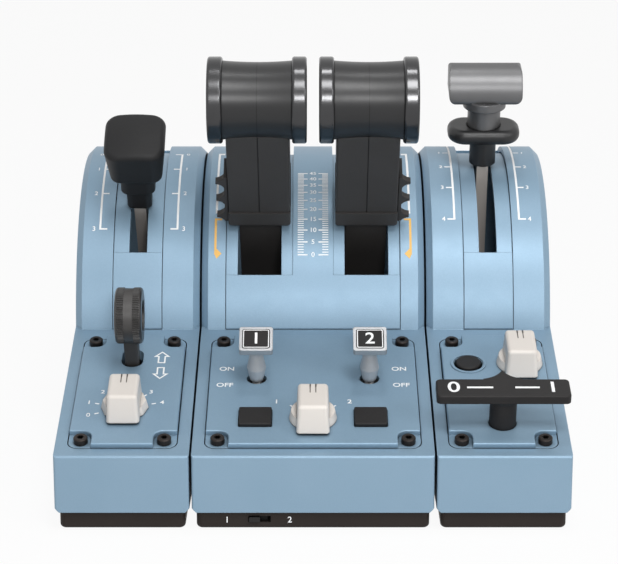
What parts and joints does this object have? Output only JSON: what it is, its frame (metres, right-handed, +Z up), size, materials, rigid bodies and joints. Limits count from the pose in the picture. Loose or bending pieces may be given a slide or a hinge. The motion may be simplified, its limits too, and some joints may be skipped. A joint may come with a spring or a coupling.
{
  "type": "throttle quadrant",
  "caption": "Three-module desktop throttle quadrant with thrust, speed brake, gear and flaps levers, toggles, knobs and buttons",
  "frame": {"origin": "on the desk plane, at the middle of the three modules' footprint", "axes": "+X to the user's right, +Y away from the user, +Z up"},
  "size_m": [0.2344, 0.236, 0.2025],
  "materials": {
    "shell_blue": "satin, fine grain",
    "tray_black": "satin",
    "panel_screw": "blackened",
    "steel": "brushed",
    "rubber": "matte",
    "lever_grey": "satin",
    "head_grey": "satin",
    "ring_gloss": "glossy gunmetal",
    "button_dark": "satin",
    "knob_ivory": "semi-gloss",
    "toggle_chrome": "polished",
    "cap_dark": "satin",
    "circuit_green": "solder mask",
    "switch_black": "moulded"
  },
  "bodies": {
    "quadrant": {"main_housing": "shell_blue", "main_panel": "shell_blue", "main_drum_insert": "shell_blue", "main_tray": "tray_black", "left_housing": "shell_blue", "left_panel": "shell_blue", "left_drum_insert": "shell_blue", "left_tray": "tray_black", "right_housing": "shell_blue", "right_panel": "shell_blue", "right_drum_insert": "shell_blue", "right_tray": "tray_black", "panel_screws": "panel_screw", "underside_screws": "steel", "thrust_bracket": "steel", "thrust_axle": "steel", "side_brackets": "steel", "side_axles": "steel", "gear_bracket": "steel", "usb_socket": "steel", "link_plates": "steel", "rubber_feet": "rubber", "circuit_boards": "circuit_green", "rotary_switches": "switch_black", "push_switches": "switch_black", "toggle_switches": "switch_black", "lever_sensors": "switch_black", "link_connectors": "switch_black", "park_guide": "switch_black"},
    "thrust_left": {"thrust_arm_left": "lever_grey", "thrust_head_left": "head_grey", "thrust_rings_left": "ring_gloss"},
    "latch_left": {"reverser_latch_left": "lever_grey"},
    "disconnect_left": {"disconnect_button_left": "button_dark"},
    "start_left": {"start_button_left": "button_dark"},
    "thrust_right": {"thrust_arm_right": "lever_grey", "thrust_head_right": "head_grey", "thrust_rings_right": "ring_gloss"},
    "latch_right": {"reverser_latch_right": "lever_grey"},
    "disconnect_right": {"disconnect_button_right": "button_dark"},
    "start_right": {"start_button_right": "button_dark"},
    "toggle_1": {"toggle_stem_1": "toggle_chrome", "toggle_cap_1": "cap_dark"},
    "toggle_2": {"toggle_stem_2": "toggle_chrome", "toggle_cap_2": "cap_dark"},
    "mode_selector": {"mode_knob": "knob_ivory"},
    "auto_brake_selector": {"auto_brake_knob": "knob_ivory"},
    "trim_selector": {"trim_knob": "knob_ivory"},
    "mode_slide": {"selector_slide": "button_dark"},
    "speedbrake": {"speedbrake_bar": "steel", "speedbrake_knob": "lever_grey"},
    "flaps": {"flaps_bar": "steel", "flaps_knob": "lever_grey"},
    "flaps_release": {"flaps_collar": "lever_grey"},
    "gear": {"gear_stem": "lever_grey", "gear_wheel": "lever_grey"},
    "round_push": {"round_button": "button_dark"},
    "park_lift": {"park_slider": "switch_black"},
    "park_handle": {"park_stem": "lever_grey", "park_bar": "lever_grey"}
  },
  "joints": [
    {"name": "thrust_lever_left", "type": "hinge", "parent": "quadrant", "child": "thrust_left", "pos_m": [-0.0264, 0.0716, 0.0538], "axis": [-1, 0, 0], "range_deg": [-14.7, 31]},
    {"name": "reverser_latch_lift_left", "type": "slide", "parent": "thrust_left", "child": "latch_left", "axis": [0, -0.599, 0.8007], "range_m": [0, 0.008], "stiffness_N_per_m": 100, "springref_m": -0.003},
    {"name": "disconnect_press_left", "type": "slide", "parent": "thrust_left", "child": "disconnect_left", "axis": [1, 0, 0], "range_m": [0, 0.0015], "stiffness_N_per_m": 300, "springref_m": -0.001},
    {"name": "start_press_left", "type": "slide", "parent": "quadrant", "child": "start_left", "axis": [0, 0.2622, -0.965], "range_m": [0, 0.0012], "stiffness_N_per_m": 300, "springref_m": -0.001},
    {"name": "thrust_lever_right", "type": "hinge", "parent": "quadrant", "child": "thrust_right", "pos_m": [0.0264, 0.0716, 0.0538], "axis": [-1, 0, 0], "range_deg": [-14.7, 31]},
    {"name": "reverser_latch_lift_right", "type": "slide", "parent": "thrust_right", "child": "latch_right", "axis": [0, -0.599, 0.8007], "range_m": [0, 0.008], "stiffness_N_per_m": 100, "springref_m": -0.003},
    {"name": "disconnect_press_right", "type": "slide", "parent": "thrust_right", "child": "disconnect_right", "axis": [-1, 0, 0], "range_m": [0, 0.0015], "stiffness_N_per_m": 300, "springref_m": -0.001},
    {"name": "start_press_right", "type": "slide", "parent": "quadrant", "child": "start_right", "axis": [0, 0.2622, -0.965], "range_m": [0, 0.0012], "stiffness_N_per_m": 300, "springref_m": -0.001},
    {"name": "engine_toggle_1", "type": "hinge", "parent": "quadrant", "child": "toggle_1", "pos_m": [-0.02665, -0.05897, 0.0514], "axis": [-1, 0, 0], "range_deg": [-7, 13]},
    {"name": "engine_toggle_2", "type": "hinge", "parent": "quadrant", "child": "toggle_2", "pos_m": [0.02665, -0.05897, 0.0514], "axis": [-1, 0, 0], "range_deg": [-7, 13]},
    {"name": "mode_knob_turn", "type": "hinge", "parent": "quadrant", "child": "mode_selector", "pos_m": [0, -0.09231, 0.04597], "axis": [0, -0.2622, 0.965], "range_deg": [-45, 45]},
    {"name": "auto_brake_knob_turn", "type": "hinge", "parent": "quadrant", "child": "auto_brake_selector", "pos_m": [-0.0872, -0.08411, 0.0482], "axis": [0, -0.2622, 0.965], "range_deg": [-135, 90]},
    {"name": "trim_knob_turn", "type": "hinge", "parent": "quadrant", "child": "trim_selector", "pos_m": [0.0988, -0.04676, 0.05835], "axis": [0, -0.2622, 0.965], "range_deg": [-40, 40], "stiffness_Nm_per_rad": 0.02},
    {"name": "selector_slide_shift", "type": "slide", "parent": "quadrant", "child": "mode_slide", "axis": [1, 0, 0], "range_m": [0, 0.0045]},
    {"name": "speedbrake_lever", "type": "hinge", "parent": "quadrant", "child": "speedbrake", "pos_m": [-0.0866, 0.0716, 0.0538], "axis": [-1, 0, 0], "range_deg": [-11.5, 41]},
    {"name": "flaps_lever", "type": "hinge", "parent": "quadrant", "child": "flaps", "pos_m": [0.0866, 0.0716, 0.0538], "axis": [-1, 0, 0], "range_deg": [-29.6, 24]},
    {"name": "flaps_collar_lift", "type": "slide", "parent": "flaps", "child": "flaps_release", "axis": [0, -0.2419, 0.9703], "range_m": [0, 0.005], "stiffness_N_per_m": 150, "springref_m": -0.003},
    {"name": "gear_lever", "type": "hinge", "parent": "quadrant", "child": "gear", "pos_m": [-0.0866, -0.03947, 0.04945], "axis": [-1, 0, 0], "range_deg": [0, 18]},
    {"name": "round_button_press", "type": "slide", "parent": "quadrant", "child": "round_push", "axis": [0, 0.2622, -0.965], "range_m": [0, 0.0012], "stiffness_N_per_m": 300, "springref_m": -0.001},
    {"name": "park_brake_pull", "type": "slide", "parent": "quadrant", "child": "park_lift", "axis": [0, -0.2622, 0.965], "range_m": [0, 0.004]},
    {"name": "park_brake_turn", "type": "hinge", "parent": "park_lift", "child": "park_handle", "pos_m": [0.0869, -0.09617, 0.04492], "axis": [0, -0.2622, 0.965], "range_deg": [-90, 0]}
  ]
}
